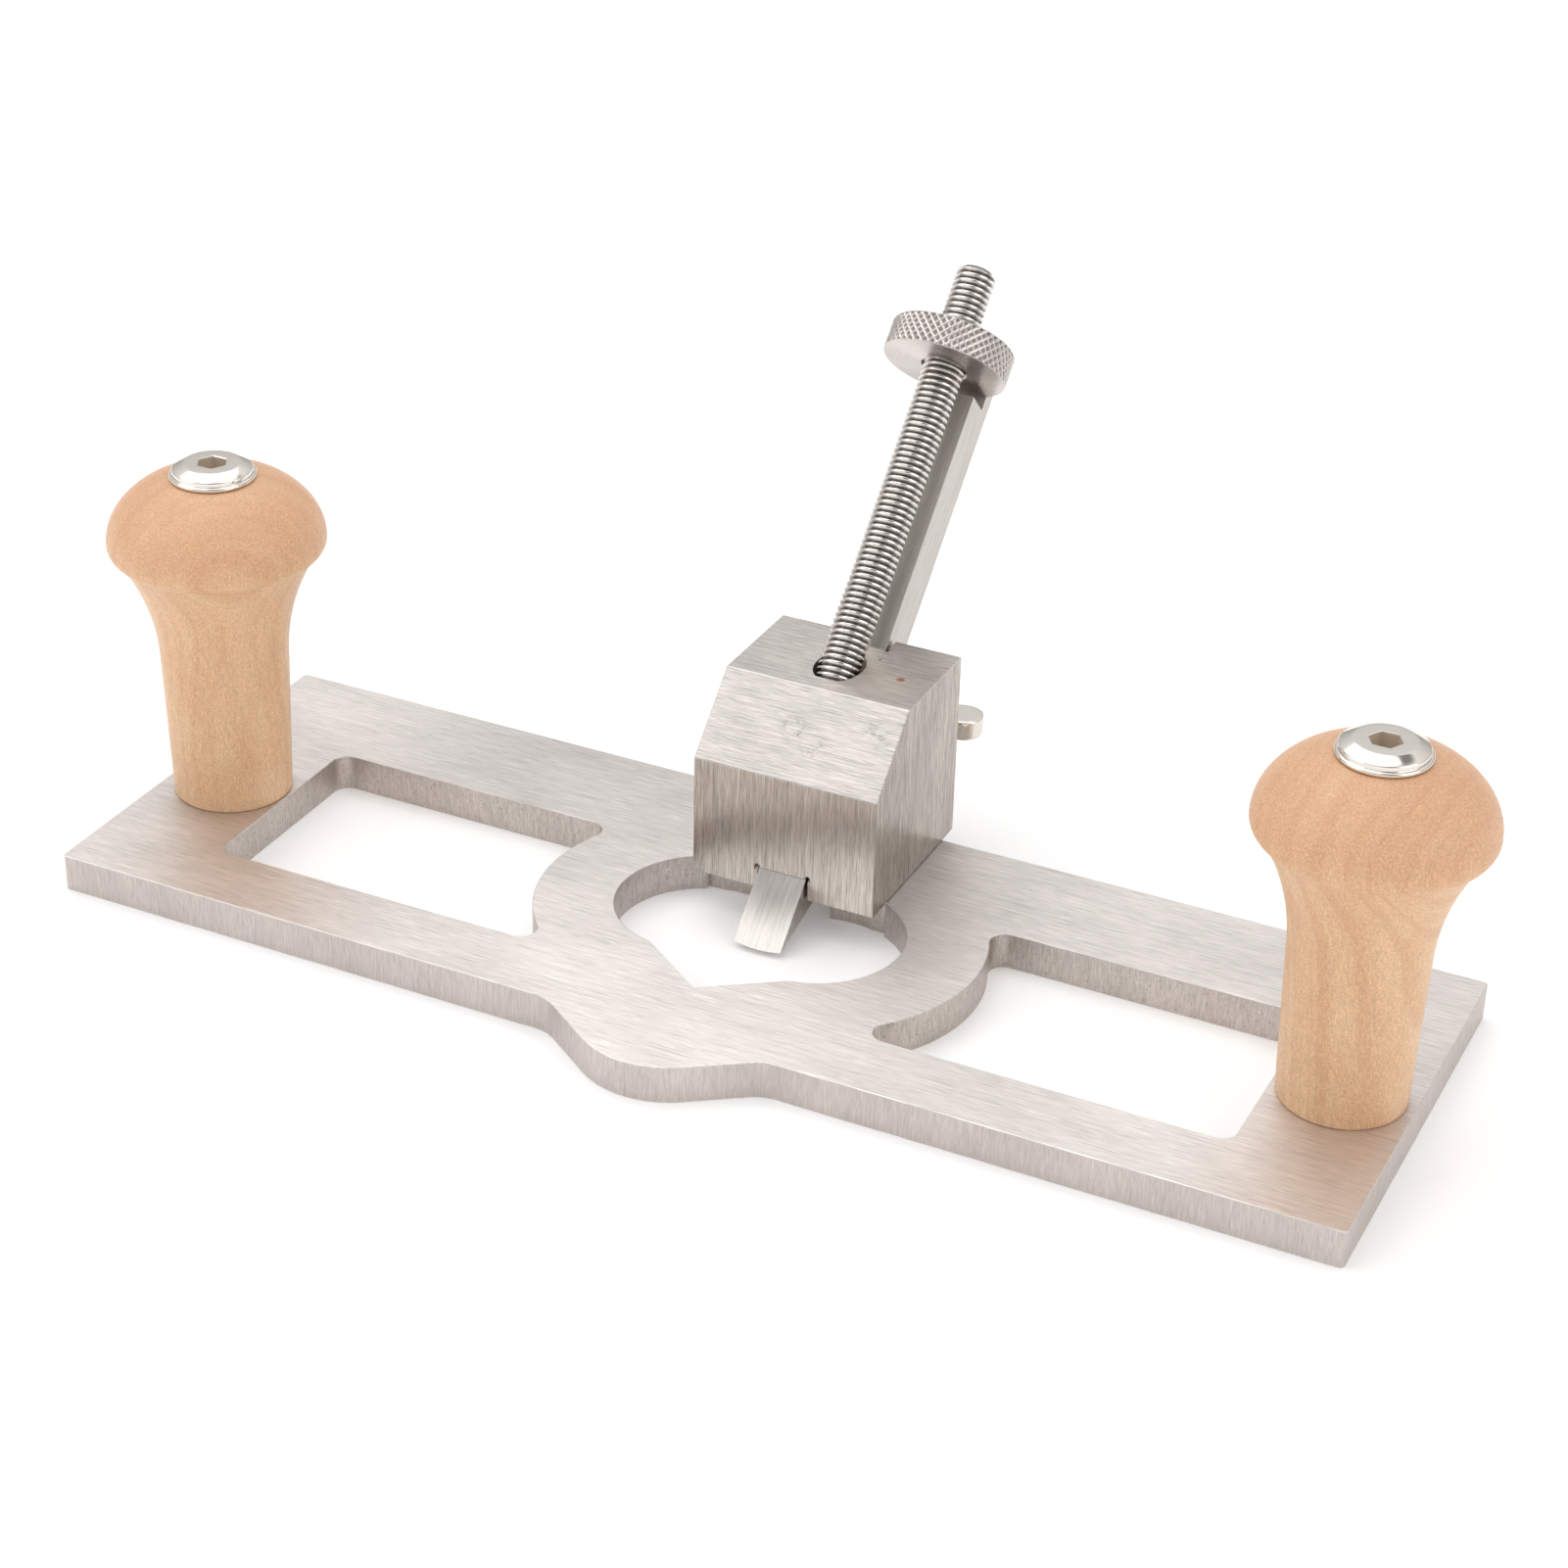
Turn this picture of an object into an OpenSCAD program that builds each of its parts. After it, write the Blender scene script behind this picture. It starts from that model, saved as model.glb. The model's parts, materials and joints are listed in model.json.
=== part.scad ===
// Hand router plane: a flat steel sole, a cutter bar fed through a block at 45 degrees by a
// knurled nut on a threaded stud, a wing screw that clamps the bar, and two turned knobs.
// Millimetres. X runs along the sole, Y to the back, Z up. The origin is the middle of the
// sole's rectangle, on its lower face.

/* [Plate] */
// Length of the plate
plate_l = 250; // [230:1:280]
// Depth of the plate's rectangle, without the front bulge
plate_w = 82.7; // [78:0.1:96]
// Thickness of the plate
plate_t = 7.3; // [6:0.1:10]
// Radius of the plate's four corners
plate_corner_r = 1; // [0.5:0.1:3]

/* [Front bulge] */
// How far the bulge stands out of the front edge
bulge_out = 11.15; // [8:0.05:16]
// Radius of the bulge's tip
bulge_tip_r = 17; // [12:0.5:22]
// Radius of the fillets between the bulge and the front edge
bulge_fillet_r = 8; // [4:0.5:12]
// Slope of the bulge's flanks and of the V notch behind it
flank_angle = 35; // [30:0.5:40]

/* [Mouth] */
// Radius of the mouth's two round ends
mouth_r = 16.7; // [15:0.1:18]
// How far each round end's centre lies from the middle
mouth_spread = 11.2; // [9:0.1:13]
// Width of the slot that lets the cutter bar past the mouth's back wall
relief_w = 13.7; // [13:0.1:15]
// Room behind the bar in that slot
relief_room = 1.3; // [1:0.1:2]

/* [Windows] */
// Width of the solid end of the plate outside each window
end_margin = 24.8; // [22:0.1:28]
// Width of the rail in front of the windows
front_rail = 15.1; // [13:0.1:18]
// Width of the rail behind the windows and the mouth
back_rail = 25.2; // [24:0.1:27]
// Radius of the arc that ends each window beside the mouth
window_arc_r = 31; // [29:0.5:34]
// How far that arc's centre lies from the middle
window_arc_x = 12; // [10:0.5:13]
// Radius of the windows' corners
window_corner_r = 3; // [2:0.25:4]

/* [Block] */
// Width of the block
block_w = 37; // [35:0.5:42]
// Depth of the block
block_d = 36.8; // [36:0.1:39]
// Height of the block
block_h = 37.1; // [35:0.1:42]
// Width and height of the bevel along the block's front top edge
block_bevel = 13; // [9:0.5:13.5]
// How far the block stands out behind the plate
block_overhang = 4.75; // [3:0.25:5.5]
// Chamfer along the block's lower left edge
block_side_chamfer = 2.6; // [1:0.1:3]

/* [Cutter] */
// Lean of the cutter bar and of its stud from upright
tool_angle = 45; // [42:0.5:46]
// Height above the plate at which the bar's upper face leaves the block's front
toe_h = 4.2; // [3.8:0.1:5]
// Side of the square cutter bar
cutter_w = 9.5; // [9:0.1:10]
// Angle between the cutting bevel and the bar's upper face
cutter_bevel_angle = 30; // [25:1:35]
// How far the cambered cutting edge curves back at its corners
edge_camber = 0.5; // [0.1:0.1:0.8]
// How far the cutting edge stands out of the block along the bar
edge_out = 14.8; // [10:0.1:15]
// Distance from the cutting edge to the floor of the bar's notch
notch_from_edge = 113.8; // [105:0.1:116]
// Depth of the notch, across the bar
notch_depth = 6.5; // [6:0.1:7]
// Play of the wheel in the notch, under the wheel
notch_play = 1.5; // [0.5:0.1:2]
// Length of the bar's lip above the wheel
lip_l = 4; // [3:0.25:5]

/* [Stud and wheel] */
// Diameter of the threaded stud
stud_d = 8; // [7:0.5:9]
// Length of the stud
stud_l = 100; // [96:1:106]
// Distance between the stud's axis and the bar's upper face
stud_offset = 7.2; // [7:0.1:7.6]
// Distance along the bar from the block's front to the stud's lower end
stud_foot = 21; // [19:0.5:24]
// Diameter of the wide mouth of the stud's hole
stud_mouth_d = 9.2; // [9:0.1:10]
// Depth of that wide mouth along the stud
stud_mouth_depth = 4; // [3:0.5:6]
// Diameter of the knurled wheel
wheel_d = 24.2; // [22:0.2:25]
// Thickness of the knurled wheel
wheel_t = 6.1; // [5:0.1:8]

/* [Wing screw] */
// Height of the wing screw above the plate
clamp_h = 18.6; // [18:0.1:19.5]
// Diameter of the wing screw's thread
clamp_d = 8; // [7:0.5:8]
// Chamfer on the screw's tip, which lies flat on the bar
clamp_tip_chamfer = 1.5; // [1:0.1:2]
// Gap between the screw's hub and the block
hub_gap = 1; // [0.6:0.1:3]
// Length of the hub
hub_l = 8; // [7:0.5:10]
// Diameter of the hub beside the block
hub_d = 12.6; // [11:0.2:14]
// Diameter of the hub's outer end
hub_end_d = 10; // [9:0.2:11]
// Thickness of the two ears
ear_t = 4; // [3:0.25:5]
// Distance of each ear's round end from the screw's axis
ear_reach = 16.2; // [14:0.2:18]
// Radius of each ear's round end
ear_tip_r = 3.85; // [3:0.05:4.5]
// Distance of that round end's centre from the block's back
ear_rise = 8.3; // [8:0.1:10]
// Radius of each ear's root on the hub
ear_root_r = 3; // [2:0.25:3.5]
// How far each ear's root stands back from the hub's face
ear_setback = 0.6; // [0.4:0.1:1.2]

/* [Knobs] */
// How far the knobs stand in front of the plate's middle
knob_forward = 3.9; // [0:0.1:8]
// How far the knobs stand inwards of the middle of the plate's ends
knob_inward = 0.6; // [0:0.1:1]
// Height of the knobs
knob_h = 65.4; // [60:0.1:67]
// Radius of the stem at its foot
foot_r = 11.3; // [10.5:0.1:11.8]
// Radius of the stem where it begins to flare
stem_r = 12.1; // [11.5:0.1:12.4]
// Height at which the stem begins to flare
flare_h = 28; // [20:0.5:34]
// Radius of the cap
cap_r = 20.4; // [19:0.1:22]
// Height of the cap's widest part
cap_h = 52.9; // [50:0.1:54]
// Width of the flat ring round the bolt head, where the dome is cut off
seat_margin = 0.7; // [0.3:0.1:1.5]
// Radius of the rounding under the cap
under_r = 2.8; // [2.4:0.1:4]

/* [Fasteners] */
// Diameter of the knob bolts
bolt_d = 8; // [7:0.5:8]
// How far the knob bolts' ends stay above the sole
bolt_end = 1.5; // [1:0.1:4]
// Diameter of the bolt heads' rims
head_d = 16.2; // [14:0.2:17]
// Height of the bolt heads
head_t = 2.85; // [2.5:0.05:3.2]
// Diameter of the bolt heads' flat tops
head_flat_d = 10.6; // [9:0.2:12]
// Height of the cone round that flat
head_cone = 0.95; // [0.6:0.05:1.2]
// Thickness of the bolt heads' rounded rims
head_rim_t = 1; // [0.8:0.05:1.2]
// How far those rims stand out
head_rim_out = 0.6; // [0.4:0.05:0.8]
// Width across flats of the bolts' hex sockets
bolt_hex = 5; // [4:0.5:6]
// Depth of the bolts' hex sockets
bolt_hex_depth = 3.5; // [2.5:0.25:5]
// Diameter of the two screws that hold the block
screw_d = 6; // [5:0.5:6]
// Length of those screws, countersunk heads included
screw_l = 16; // [14:1:18]
// Distance of those screws from the block's sides
screw_inset = 6; // [5.5:0.1:6.3]
// How far those screws stand in front of the plate's back edge
screw_from_back = 12.3; // [11:0.1:14]
// Width across flats of the screws' hex sockets
screw_hex = 4; // [3:0.5:4]
// How deep the screws' heads lie under the sole
screw_sunk = 0.3; // [0.1:0.1:0.6]

/* [Fits] */
// Radial play of a thread or a shank in its hole
thread_fit = 0.05; // [0.02:0.01:0.1]
// Play between the bar's upper face and its channel
slide_fit = 0.06; // [0.03:0.01:0.1]
// Play on each side of the bar in its channel
side_fit = 0.4; // [0.2:0.05:0.5]
// Play behind the bar, where the wing screw presses
back_fit = 0.5; // [0.3:0.05:0.7]
// Diameter of the relief drilled along each corner of the channel
corner_relief_d = 1.2; // [0.8:0.1:1.6]

/* [Hidden] */
$fn = 96;
past = 1;                 // how far a cut runs past the face it opens
far = 400;                // longer than any piece, for cuts that run right through

steel = [0.74, 0.73, 0.71];
polished_steel = [0.80, 0.80, 0.79];
nickel = [0.86, 0.85, 0.83];
maple = [0.90, 0.74, 0.56];

// plate
front_y = -plate_w/2;
back_y = plate_w/2;
window_front_y = front_y + front_rail;
rail_y = back_y - back_rail;
window_end_x = plate_l/2 - end_margin;

// block
block_back_y = back_y + block_overhang;
block_front_y = block_back_y - block_d;
block_top_z = plate_t + block_h;

// cutter bar: its own frame starts where its upper face leaves the block's front;
// there z runs up the bar and y across it, away from the stud
toe_z = plate_t + toe_h;
edge_z = -edge_out;
notch_z = edge_z + notch_from_edge;
wheel_z = notch_z + notch_play;
lip_z = wheel_z + wheel_t + thread_fit;
cutter_top_z = lip_z + lip_l;
channel_w = cutter_w + 2*side_fit;
channel_d = cutter_w + slide_fit + back_fit;
edge_r = (cutter_w*cutter_w/4 + edge_camber*edge_camber)/(2*edge_camber);
stud_block_top = (block_top_z - toe_z - stud_offset*sin(tool_angle))/cos(tool_angle);

// y of the bar's rear face at a height, where a level screw or the plate meets it
function bar_back_y(z, play = 0) =
  block_front_y + (z - toe_z)*tan(tool_angle) + (cutter_w + play)/cos(tool_angle);
relief_y = bar_back_y(plate_t, back_fit) + relief_room;

// wing screw
clamp_z = plate_t + clamp_h;
clamp_r = clamp_d/2;
// its chamfered tip lies along the bar's rear face
clamp_tip_y = bar_back_y(clamp_z + clamp_r, slide_fit) - clamp_tip_chamfer;
clamp_hole_y = bar_back_y(clamp_z - clamp_r - thread_fit);

// knobs and their bolts
knob_x = plate_l/2 - end_margin/2 - knob_inward;
knob_y = -knob_forward;
knob_bore_r = bolt_d/2 + 2*thread_fit;
under_sweep = 72;
crease_r = cap_r - under_r + under_r*cos(under_sweep);
crease_h = cap_h - under_r*sin(under_sweep);
cove_out = crease_r - stem_r;
cove_up = crease_h - flare_h;
cove_r = (cove_out*cove_out + cove_up*cove_up)/(2*cove_out);
cove_sweep = asin(cove_up/cove_r);
seat_sweep = acos((head_d/2 + seat_margin)/cap_r);
dome_rise = (knob_h - cap_h)/sin(seat_sweep);
bolt_seat_z = plate_t + knob_h;
bolt_l = bolt_seat_z - bolt_end;

// screws under the block
screw_x = block_w/2 - screw_inset;
screw_y = back_y - screw_from_back;
screw_head_d = 2*screw_d;
screw_head_t = (screw_head_d - screw_d)/2;
thread_end = 1;           // chamfer on the end of each thread

// Points of an arc round a centre, from one angle to another
function arc(centre, r, from, to, steps = 12) = [
  for (i = [0:steps])
    let (a = from + (to - from)*i/steps)
      centre + r*[cos(a), sin(a)]
];

// Points of the dome, a quarter ellipse cut off flat at the bolt's seat
function dome(r, rise, base, sweep, steps = 16) = [
  for (i = [0:steps])
    let (a = sweep*i/steps)
      [r*cos(a), base + rise*sin(a)]
];

// Puts a piece in the cutter bar's leaning frame
module in_tool_frame() {
  translate([0, block_front_y, toe_z]) rotate([-tool_angle, 0, 0]) children();
}

// Puts a piece on the wing screw's axis, with z out of the block's back
module on_clamp_axis() {
  translate([0, block_back_y, clamp_z]) rotate([-90, 0, 0]) children();
}

// A shank with a chamfer at its upper end, its lower end or both
module shank(d, l, low = thread_end, high = thread_end) {
  rotate_extrude() polygon([
    [0, 0], [d/2 - low, 0], [d/2, low], [d/2, l - high], [d/2 - high, l], [0, l]
  ]);
}

module hex_socket(flats, depth) {
  cylinder(d = flats/cos(30), h = depth, $fn = 6);
}

// The plate's outline: a rectangle with a blunt point let into its front edge
module plate_outline() {
  tip_y = front_y - bulge_out;
  tip_centre_y = tip_y + bulge_tip_r;
  tangent = [bulge_tip_r*sin(flank_angle), tip_centre_y - bulge_tip_r*cos(flank_angle)];
  inside_y = front_y + bulge_fillet_r;
  flank_x = tangent[0] + (inside_y - tangent[1])/tan(flank_angle);
  offset(r = -bulge_fillet_r, $fn = 120) offset(delta = bulge_fillet_r) {
    offset(r = plate_corner_r, $fn = 32) offset(delta = -plate_corner_r)
      square([plate_l, plate_w], center = true);
    polygon(concat(
      [[flank_x, inside_y], [-flank_x, inside_y]],
      arc([0, tip_centre_y], bulge_tip_r, -90 - flank_angle, -90 + flank_angle, 20)
    ));
  }
}

// One window, its inner end bowed round the mouth and its corners rounded
module window_outline() {
  offset(r = window_corner_r, $fn = 48) offset(delta = -window_corner_r)
    difference() {
      translate([window_arc_x, window_front_y])
        square([window_end_x - window_arc_x, rail_y - window_front_y]);
      translate([window_arc_x, 0]) circle(r = window_arc_r, $fn = 144);
    }
}

// The V notch in front of the mouth, as deep as the windows
module notch_outline() {
  half = mouth_spread + mouth_r/2;
  shoulder_y = window_front_y + half*tan(flank_angle);
  polygon([
    [0, window_front_y], [half, shoulder_y], [mouth_spread, 0], [-mouth_spread, 0],
    [-half, shoulder_y]
  ]);
}

// The mouth: two round ends, a straight wall under the block's front and a slot for the bar
module mouth() {
  for (side = [-1, 1])
    translate([side*mouth_spread, 0, -past]) cylinder(r = mouth_r, h = plate_t + 2*past);
  translate([-block_w/2, 0, -past]) cube([block_w, rail_y, plate_t + 2*past]);
  translate([-relief_w/2, 0, -past]) cube([relief_w, relief_y, plate_t + 2*past]);
  translate([0, 0, -past]) linear_extrude(plate_t + 2*past) notch_outline();
}

module base_plate() {
  color(steel) difference() {
    linear_extrude(plate_t) plate_outline();
    mouth();
    for (side = [0, 1])
      mirror([side, 0, 0])
        translate([0, 0, -past]) linear_extrude(plate_t + 2*past) window_outline();
    // tapped holes of the knob bolts
    for (side = [-1, 1])
      translate([side*knob_x, knob_y, -past])
        cylinder(d = bolt_d + 2*thread_fit, h = plate_t + 2*past);
    // countersunk holes of the block's screws
    for (side = [-1, 1])
      translate([side*screw_x, screw_y, 0]) screw_hole();
  }
}

// A countersunk hole from the sole, with room for the head's play and its sunk depth
module screw_hole() {
  mouth_r = screw_head_d/2 + thread_fit;
  translate([0, 0, -past]) cylinder(r = mouth_r, h = past + screw_sunk);
  translate([0, 0, screw_sunk])
    cylinder(r1 = mouth_r, r2 = screw_d/2 + thread_fit, h = screw_head_t);
  cylinder(d = screw_d + 2*thread_fit, h = screw_l + screw_sunk + past);
}

// The block's side outline, bevelled at the front
module block_side() {
  polygon([
    [block_front_y, plate_t],
    [block_front_y, block_top_z - block_bevel],
    [block_front_y + block_bevel, block_top_z],
    [block_back_y, block_top_z],
    [block_back_y, plate_t]
  ]);
}

// The square channel, with a relief along each corner, where the bar slides
module cutter_channel() {
  in_tool_frame() {
    translate([-channel_w/2, -slide_fit, -far/2]) cube([channel_w, channel_d, far]);
    for (x = [-channel_w/2, channel_w/2])
      for (y = [-slide_fit, channel_d - slide_fit])
        translate([x, y, -far/2]) cylinder(d = corner_relief_d, h = far);
  }
}

module tool_block() {
  color(steel) difference() {
    rotate([90, 0, 90]) linear_extrude(block_w, center = true) block_side();
    // chamfer along the lower left edge
    translate([-block_w/2, block_front_y - past, plate_t]) rotate([-90, 0, 0])
      linear_extrude(block_d + 2*past)
        polygon([
          [-past, past], [block_side_chamfer + past, past],
          [-past, -block_side_chamfer - past]
        ]);
    cutter_channel();
    // blind hole of the stud, wider at its mouth
    in_tool_frame() translate([0, -stud_offset, 0]) {
      translate([0, 0, stud_foot - past])
        cylinder(d = stud_d + 2*thread_fit, h = stud_block_top);
      translate([0, 0, stud_block_top - stud_mouth_depth])
        cylinder(d = stud_mouth_d, h = 3*stud_mouth_depth);
    }
    // tapped hole of the wing screw, from the back into the channel
    translate([0, clamp_hole_y, clamp_z]) rotate([-90, 0, 0])
      cylinder(d = clamp_d + 2*thread_fit, h = block_back_y - clamp_hole_y + past);
    // tapped holes of the screws from below
    for (side = [-1, 1])
      translate([side*screw_x, screw_y, 0])
        cylinder(d = screw_d + 2*thread_fit, h = screw_l + screw_sunk + past);
  }
}

// Two countersunk screws that come up through the plate
module block_screws() {
  color(polished_steel)
    for (side = [-1, 1])
      translate([side*screw_x, screw_y, screw_sunk]) difference() {
        union() {
          cylinder(d1 = screw_head_d, d2 = screw_d, h = screw_head_t);
          shank(screw_d, screw_l, low = 0);
        }
        translate([0, 0, -past]) hex_socket(screw_hex, screw_head_t + past);
      }
}

module adjuster_stud() {
  color(polished_steel)
    in_tool_frame() translate([0, -stud_offset, stud_foot]) shank(stud_d, stud_l);
}

// The knurled nut, which sits in the bar's notch and turns on the stud
module depth_wheel() {
  bore_r = stud_d/2 + thread_fit;
  sink = 0.5;
  color(steel)
    in_tool_frame() translate([0, -stud_offset, wheel_z]) rotate_extrude() polygon([
      [bore_r + sink, 0], [wheel_d/2, 0], [wheel_d/2, wheel_t], [bore_r + sink, wheel_t],
      [bore_r, wheel_t - sink], [bore_r, sink]
    ]);
}

// What the grinding takes off the bar, seen along the bevel: the bevel is cambered, so that
// the cutting edge curves back at its corners
module bevel_outline(steps = 16) {
  side = cutter_w/2 + past;
  function camber(x) = edge_r - sqrt(edge_r*edge_r - x*x);
  polygon(concat(
    [[side, 2*cutter_w], [-side, 2*cutter_w]],
    [for (i = [0:steps]) let (x = side*(2*i/steps - 1)) [x, -camber(x)*sin(cutter_bevel_angle)]]
  ));
}

// The square bar: ground to a cutting edge at its foot and notched for the wheel at its head
module cutter() {
  bevel_l = cutter_w/sin(cutter_bevel_angle);
  color(polished_steel)
    in_tool_frame() difference() {
      translate([-cutter_w/2, 0, edge_z])
        cube([cutter_w, cutter_w, cutter_top_z - edge_z]);
      // cutting bevel, on the side away from the stud
      translate([0, 0, edge_z]) rotate([-cutter_bevel_angle, 0, 0])
        translate([0, 0, -past]) linear_extrude(2*bevel_l) bevel_outline();
      translate([-cutter_w/2 - past, -past, notch_z])
        cube([cutter_w + 2*past, notch_depth + past, lip_z - notch_z]);
    }
}

// One ear's outline, seen along the ear's thickness
module ear_outline() {
  hull() {
    translate([ear_reach, ear_rise]) circle(r = ear_tip_r, $fn = 48);
    translate([hub_end_d/2, hub_gap + ear_setback + ear_root_r])
      circle(r = ear_root_r, $fn = 48);
  }
}

module wing_screw() {
  color(nickel) {
    on_clamp_axis() {
      translate([0, 0, hub_gap]) cylinder(d1 = hub_d, d2 = hub_end_d, h = hub_l);
      for (side = [0, 1])
        mirror([side, 0, 0]) rotate([90, 0, 0])
          linear_extrude(ear_t, center = true) ear_outline();
    }
    translate([0, clamp_tip_y, clamp_z]) rotate([-90, 0, 0])
      shank(clamp_d, block_back_y + hub_gap + hub_l/2 - clamp_tip_y,
            low = clamp_tip_chamfer, high = 0);
  }
}

// A turned knob: tapered stem, long cove, rounded lip and a dome cut flat for its bolt
module knob() {
  color(maple) rotate_extrude() polygon(concat(
    [[knob_bore_r, 0]],
    [[foot_r, 0]],
    arc([stem_r + cove_r, flare_h], cove_r, 180, 180 - cove_sweep, 14),
    arc([cap_r - under_r, cap_h], under_r, -under_sweep, 0, 8),
    dome(cap_r, dome_rise, cap_h, seat_sweep),
    [[knob_bore_r, knob_h]]
  ));
}

// A long bolt with a wide, low head: a rounded rim, a short side and a cone below its flat top
module knob_bolt() {
  rim_r = head_rim_t/2;
  side_r = head_d/2 - head_rim_out;
  color(nickel) translate([0, 0, bolt_seat_z]) difference() {
    union() {
      rotate_extrude() polygon(concat(
        [[0, 0]],
        arc([head_d/2 - rim_r, rim_r], rim_r, -90, 90, 10),
        [[side_r, head_rim_t], [side_r, head_t - head_cone]],
        [[head_flat_d/2, head_t], [0, head_t]]
      ));
      translate([0, 0, -bolt_l]) shank(bolt_d, bolt_l + head_t/2, high = 0);
    }
    translate([0, 0, head_t - bolt_hex_depth]) hex_socket(bolt_hex, bolt_hex_depth + past);
  }
}

module left_knob() {
  translate([-knob_x, knob_y, plate_t]) knob();
}

module right_knob() {
  translate([knob_x, knob_y, plate_t]) knob();
}

module left_knob_bolt() {
  translate([-knob_x, knob_y, 0]) knob_bolt();
}

module right_knob_bolt() {
  translate([knob_x, knob_y, 0]) knob_bolt();
}

base_plate();
tool_block();
block_screws();
adjuster_stud();
depth_wheel();
cutter();
wing_screw();
left_knob();
right_knob();
left_knob_bolt();
right_knob_bolt();
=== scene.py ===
import json
import math

import bmesh
import bpy
from bpy.props import FloatProperty, FloatVectorProperty, IntProperty, PointerProperty
from mathutils import Matrix, Vector


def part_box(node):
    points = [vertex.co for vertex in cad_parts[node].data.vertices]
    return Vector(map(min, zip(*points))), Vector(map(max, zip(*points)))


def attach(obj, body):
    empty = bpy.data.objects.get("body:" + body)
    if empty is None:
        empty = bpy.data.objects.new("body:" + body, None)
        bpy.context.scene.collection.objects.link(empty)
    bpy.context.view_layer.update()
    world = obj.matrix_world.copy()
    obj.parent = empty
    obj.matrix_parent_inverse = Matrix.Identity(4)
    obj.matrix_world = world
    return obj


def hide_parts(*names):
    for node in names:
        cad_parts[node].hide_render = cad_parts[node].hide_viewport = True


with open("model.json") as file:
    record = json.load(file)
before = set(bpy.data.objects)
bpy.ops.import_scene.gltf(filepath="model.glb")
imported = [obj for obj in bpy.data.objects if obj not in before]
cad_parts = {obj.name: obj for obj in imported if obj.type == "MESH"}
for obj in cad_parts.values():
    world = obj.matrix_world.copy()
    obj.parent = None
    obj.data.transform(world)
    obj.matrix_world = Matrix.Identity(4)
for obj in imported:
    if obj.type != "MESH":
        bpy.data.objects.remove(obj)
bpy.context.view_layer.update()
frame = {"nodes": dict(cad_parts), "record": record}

bl_info = {
    "name": "Hand router plane",
    "version": (1, 0, 0),
    "blender": (4, 5, 0),
    "location": "3D View > Sidebar > Router plane",
    "description": "Dresses a hand router plane: ground steel, turned maple and nickel",
    "category": "Object",
}

MM = 0.001


def linear(hex_colour):
    """Turns an sRGB hex colour into linear red, green and blue."""
    out = []
    for i in (1, 3, 5):
        c = int(hex_colour[i:i + 2], 16)/255
        out.append(c/12.92 if c <= 0.04045 else ((c + 0.055)/1.055)**2.4)
    return tuple(out)


def put(thing, **values):
    """Sets several attributes of a thing."""
    for key, value in values.items():
        setattr(thing, key, value)
    return thing


# Sizes and colours

def size(name, mm, what):
    """A length in metres, given here in millimetres."""
    return FloatProperty(name=name, description=what, default=mm*MM, min=0.0, unit="LENGTH", precision=5)


def colour(name, hex_colour, what):
    return FloatVectorProperty(
        name=name, description=what, default=linear(hex_colour), size=3, min=0, max=1, subtype="COLOR")


class SteelSizes(bpy.types.PropertyGroup):
    """Sizes of what is finer than the solids of the steel pieces."""
    edge_round: size("Broken edges", 0.22, "Width of the broken edges on the plate and the block")
    bar_edge_round: size("Bar edges", 0.12, "Width of the broken edges on the cutter bar")
    m8: size("M8 radius", 4.0, "Radius of the M8 threads over their crests")
    pitch: size("Thread pitch", 1.25, "Pitch of the M8 threads")
    thread_depth: size("Thread depth", 0.72, "Depth of the M8 threads")
    thread_chamfer: size("Thread chamfer", 1.0, "Chamfer on the threads' ends")
    clamp_chamfer: size("Wing screw's chamfer", 1.5, "Chamfer on the wing screw's tip")
    bevel: size("Block's bevel", 13.0, "Width and height of the bevel along the block's front")
    toe: size("Bar's toe", 4.2, "Height above the block's foot at which the bar leaves its front")
    screw: size("Block screws", 3.0, "Radius of the two countersunk screws under the block")
    screw_flats: size("Block screws' sockets", 4.0, "Width across the flats of their hex sockets")
    knurl_depth: size("Knurl depth", 0.3, "Depth of the diamond knurl on the depth wheel")
    knurl_rise: size("Knurl height", 1.75, "Height of one diamond of the knurl")
    knurl_count: IntProperty(
        name="Knurl count", description="Diamonds round the depth wheel", default=46, min=12)
    knurl_border: size("Knurl border", 0.35, "Width over which the knurl fades out at the rim's edges")


class KnobSizes(bpy.types.PropertyGroup):
    """Sizes of the turned knobs and of their bolts."""
    foot: size("Foot radius", 11.3, "Radius of the knobs' stems at their feet")
    foot_round: size("Foot round", 0.25, "Rounding of the stem's foot")
    stem: size("Stem radius", 12.1, "Radius of the stem where it begins to flare")
    flare: size("Flare height", 28.0, "Height at which the stem begins to flare")
    widest: size("Cap height", 52.9, "Height of the cap's widest part")
    under: size("Under the cap", 2.8, "Radius of the rounding under the cap")
    under_sweep: FloatProperty(
        name="Under sweep", description="How far the rounding under the cap runs in",
        default=math.radians(72), subtype="ANGLE")
    seat: size("Seat radius", 8.8, "Radius of the flat on which the bolt head sits")
    bore: size("Bore radius", 4.1, "Radius of the hole for the bolt")
    head: size("Head radius", 8.1, "Radius of the bolt heads' rims")
    head_t: size("Head height", 2.85, "Height of the bolt heads")
    head_flat: size("Head flat", 5.3, "Radius of the bolt heads' flat tops")
    head_cone: size("Head cone", 0.95, "Height of the cone round that flat")
    head_rim: size("Head rim", 1.0, "Thickness of the bolt heads' rounded rims")
    rim_out: size("Rim's step", 0.6, "How far those rims stand out")
    threaded: size("Threaded length", 28.0, "Length of the bolts' threads")
    hex_flats: size("Socket", 5.0, "Width across the flats of the bolts' hex sockets")
    hex_depth: size("Socket depth", 3.5, "Depth of the bolts' hex sockets")


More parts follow.
